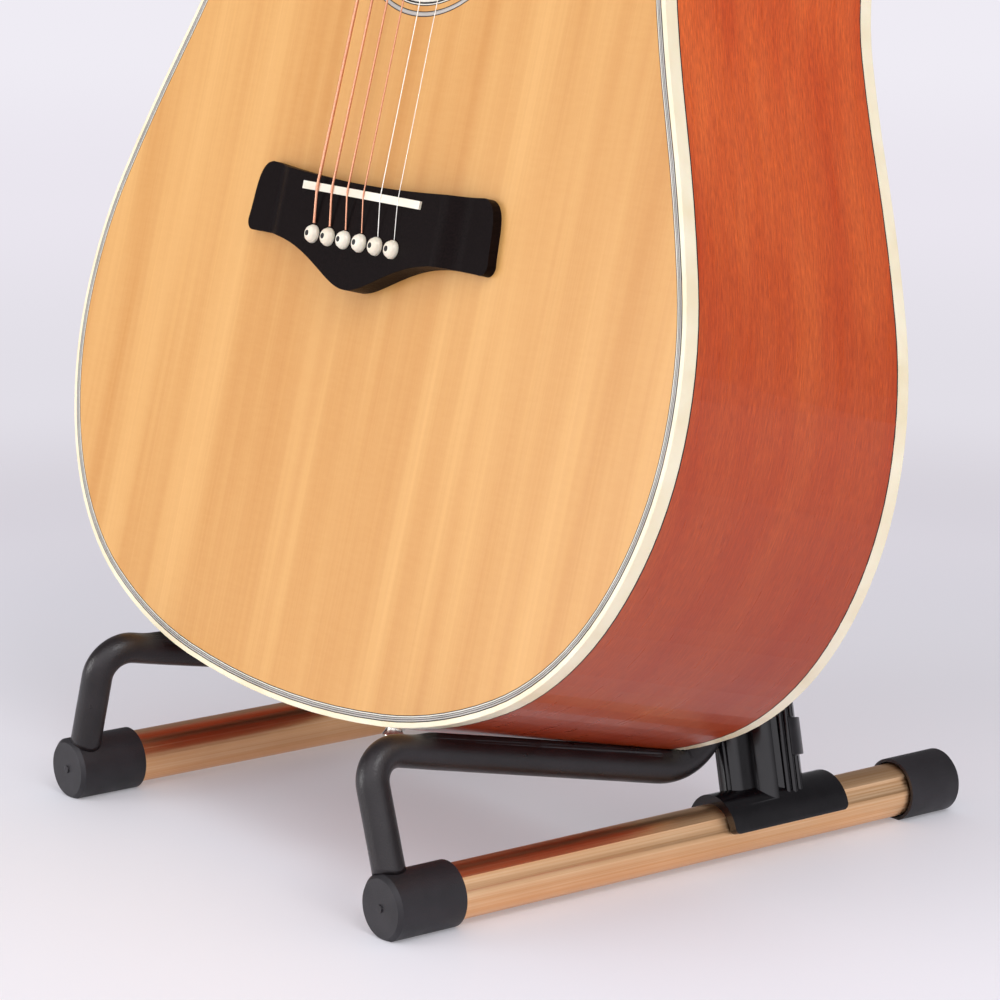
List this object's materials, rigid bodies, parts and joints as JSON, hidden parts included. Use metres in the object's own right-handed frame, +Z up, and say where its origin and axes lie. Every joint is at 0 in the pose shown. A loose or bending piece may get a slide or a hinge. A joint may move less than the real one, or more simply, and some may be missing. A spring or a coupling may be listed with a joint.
{
  "type": "acoustic guitar on folding stand",
  "caption": "Steel-string acoustic guitar resting on a folding A-frame floor stand with padded arms; tuners turn and the stand folds flat.",
  "frame": {"origin": "on the floor, midway between the two floor bars, under the middle of the whole object", "axes": "+X to the viewer's right across the guitar, +Y from the guitar's face towards its back, +Z up"},
  "size_m": [0.4, 0.3384, 1.0566],
  "materials": {
    "gold_tube": "gold anodised satin",
    "cap_rubber": "matte moulded rubber",
    "arm_steel": "bare rod",
    "arm_sleeve": "satin soft sleeve",
    "bracket_plastic": "glossy moulded",
    "clip_plastic": "satin moulded",
    "pad_rubber": "soft foam rubber",
    "hinge_plastic": "satin moulded",
    "hinge_steel": "polished",
    "spruce_top": "gloss lacquer over fine straight grain",
    "mahogany_body": "gloss lacquer over flecked grain",
    "cream_binding": "polished",
    "block_wood": "bare",
    "lining_wood": "bare",
    "brace_spruce": "bare",
    "bridge_wood": "oiled, open pores",
    "bone_white": "polished bone",
    "pin_ivory": "polished",
    "end_pin_nickel": "polished",
    "neck_mahogany": "satin lacquer",
    "truss_steel": "bare",
    "fretboard_wood": "oiled, open pores",
    "fret_nickel": "polished",
    "headstock_lacquer": "gloss lacquer",
    "cover_plastic": "gloss",
    "tuner_chrome": "polished",
    "bronze_wound": "wound wire",
    "steel_plain": "bright wire"
  },
  "bodies": {
    "right_frame": {"floor_bar_right": "gold_tube", "front_cap_right": "cap_rubber", "rear_cap_right": "cap_rubber", "arm_rod_right": "arm_steel", "arm_sleeve_right": "arm_sleeve", "bracket_right": "bracket_plastic", "bracket_clip_right": "clip_plastic", "upright_right": "gold_tube", "back_pad_right": "pad_rubber", "hinge_fork": "hinge_plastic", "hinge_pin": "hinge_steel"},
    "left_frame": {"floor_bar_left": "gold_tube", "front_cap_left": "cap_rubber", "rear_cap_left": "cap_rubber", "arm_rod_left": "arm_steel", "arm_sleeve_left": "arm_sleeve", "bracket_left": "bracket_plastic", "bracket_clip_left": "clip_plastic", "upright_left": "gold_tube", "back_pad_left": "pad_rubber", "hinge_tongue": "hinge_plastic"},
    "guitar": {"soundboard": "spruce_top", "back_plate": "mahogany_body", "top_binding": "cream_binding", "back_binding": "cream_binding", "side_rim": "mahogany_body", "neck_block": "block_wood", "tail_block": "block_wood", "kerfed_linings": "lining_wood", "top_braces": "brace_spruce", "back_braces": "brace_spruce", "bridge_plate": "block_wood", "bridge": "bridge_wood", "saddle": "bone_white", "bridge_pins": "pin_ivory", "end_pin": "end_pin_nickel", "neck": "neck_mahogany", "heel_cap": "cream_binding", "truss_rod": "truss_steel", "fretboard": "fretboard_wood", "frets": "fret_nickel", "nut": "bone_white", "headstock_veneer": "headstock_lacquer", "truss_rod_cover": "cover_plastic", "tuner_bushings": "tuner_chrome", "tuner_housings": "tuner_chrome", "wound_strings": "bronze_wound", "plain_strings": "steel_plain"},
    "knob_1": {"tuner_knob_1": "tuner_chrome"},
    "post_1": {"tuner_post_1": "tuner_chrome"},
    "knob_2": {"tuner_knob_2": "tuner_chrome"},
    "post_2": {"tuner_post_2": "tuner_chrome"},
    "knob_3": {"tuner_knob_3": "tuner_chrome"},
    "post_3": {"tuner_post_3": "tuner_chrome"},
    "knob_4": {"tuner_knob_4": "tuner_chrome"},
    "post_4": {"tuner_post_4": "tuner_chrome"},
    "knob_5": {"tuner_knob_5": "tuner_chrome"},
    "post_5": {"tuner_post_5": "tuner_chrome"},
    "knob_6": {"tuner_knob_6": "tuner_chrome"},
    "post_6": {"tuner_post_6": "tuner_chrome"}
  },
  "joints": [
    {"name": "stand_fold", "type": "hinge", "parent": "right_frame", "child": "left_frame", "pos_m": [0, 0.05688, 0.30818], "axis": [0, -1, 0], "range_deg": [0, 36]},
    {"name": "guitar_lift", "type": "slide", "parent": "right_frame", "child": "guitar", "axis": [0, 0, 1], "range_m": [0, 0.4]},
    {"name": "knob_turn_1", "type": "hinge", "parent": "guitar", "child": "knob_1", "pos_m": [0.022, 0.11063, 0.92697], "axis": [1, 0, 0], "continuous": true},
    {"name": "post_turn_1", "type": "hinge", "parent": "guitar", "child": "post_1", "pos_m": [0.022, 0.09697, 0.94278], "axis": [0, -0.8818, 0.4716], "continuous": true},
    {"name": "knob_turn_2", "type": "hinge", "parent": "guitar", "child": "knob_2", "pos_m": [0.023, 0.12997, 0.96313], "axis": [1, 0, 0], "continuous": true},
    {"name": "post_turn_2", "type": "hinge", "parent": "guitar", "child": "post_2", "pos_m": [0.023, 0.11631, 0.97893], "axis": [0, -0.8818, 0.4716], "continuous": true},
    {"name": "knob_turn_3", "type": "hinge", "parent": "guitar", "child": "knob_3", "pos_m": [0.024, 0.14931, 0.99928], "axis": [1, 0, 0], "continuous": true},
    {"name": "post_turn_3", "type": "hinge", "parent": "guitar", "child": "post_3", "pos_m": [0.024, 0.13565, 1.01509], "axis": [0, -0.8818, 0.4716], "continuous": true},
    {"name": "knob_turn_4", "type": "hinge", "parent": "guitar", "child": "knob_4", "pos_m": [-0.024, 0.14931, 0.99928], "axis": [-1, 0, 0], "continuous": true},
    {"name": "post_turn_4", "type": "hinge", "parent": "guitar", "child": "post_4", "pos_m": [-0.024, 0.13565, 1.01509], "axis": [0, -0.8818, 0.4716], "continuous": true},
    {"name": "knob_turn_5", "type": "hinge", "parent": "guitar", "child": "knob_5", "pos_m": [-0.023, 0.12997, 0.96313], "axis": [-1, 0, 0], "continuous": true},
    {"name": "post_turn_5", "type": "hinge", "parent": "guitar", "child": "post_5", "pos_m": [-0.023, 0.11631, 0.97893], "axis": [0, -0.8818, 0.4716], "continuous": true},
    {"name": "knob_turn_6", "type": "hinge", "parent": "guitar", "child": "knob_6", "pos_m": [-0.022, 0.11063, 0.92697], "axis": [-1, 0, 0], "continuous": true},
    {"name": "post_turn_6", "type": "hinge", "parent": "guitar", "child": "post_6", "pos_m": [-0.022, 0.09697, 0.94278], "axis": [0, -0.8818, 0.4716], "continuous": true}
  ],
  "couplings": [
    {"joint": "post_turn_1", "follows": "knob_turn_1", "ratio": 0.071429},
    {"joint": "post_turn_2", "follows": "knob_turn_2", "ratio": 0.071429},
    {"joint": "post_turn_3", "follows": "knob_turn_3", "ratio": 0.071429},
    {"joint": "post_turn_4", "follows": "knob_turn_4", "ratio": 0.071429},
    {"joint": "post_turn_5", "follows": "knob_turn_5", "ratio": 0.071429},
    {"joint": "post_turn_6", "follows": "knob_turn_6", "ratio": 0.071429}
  ]
}
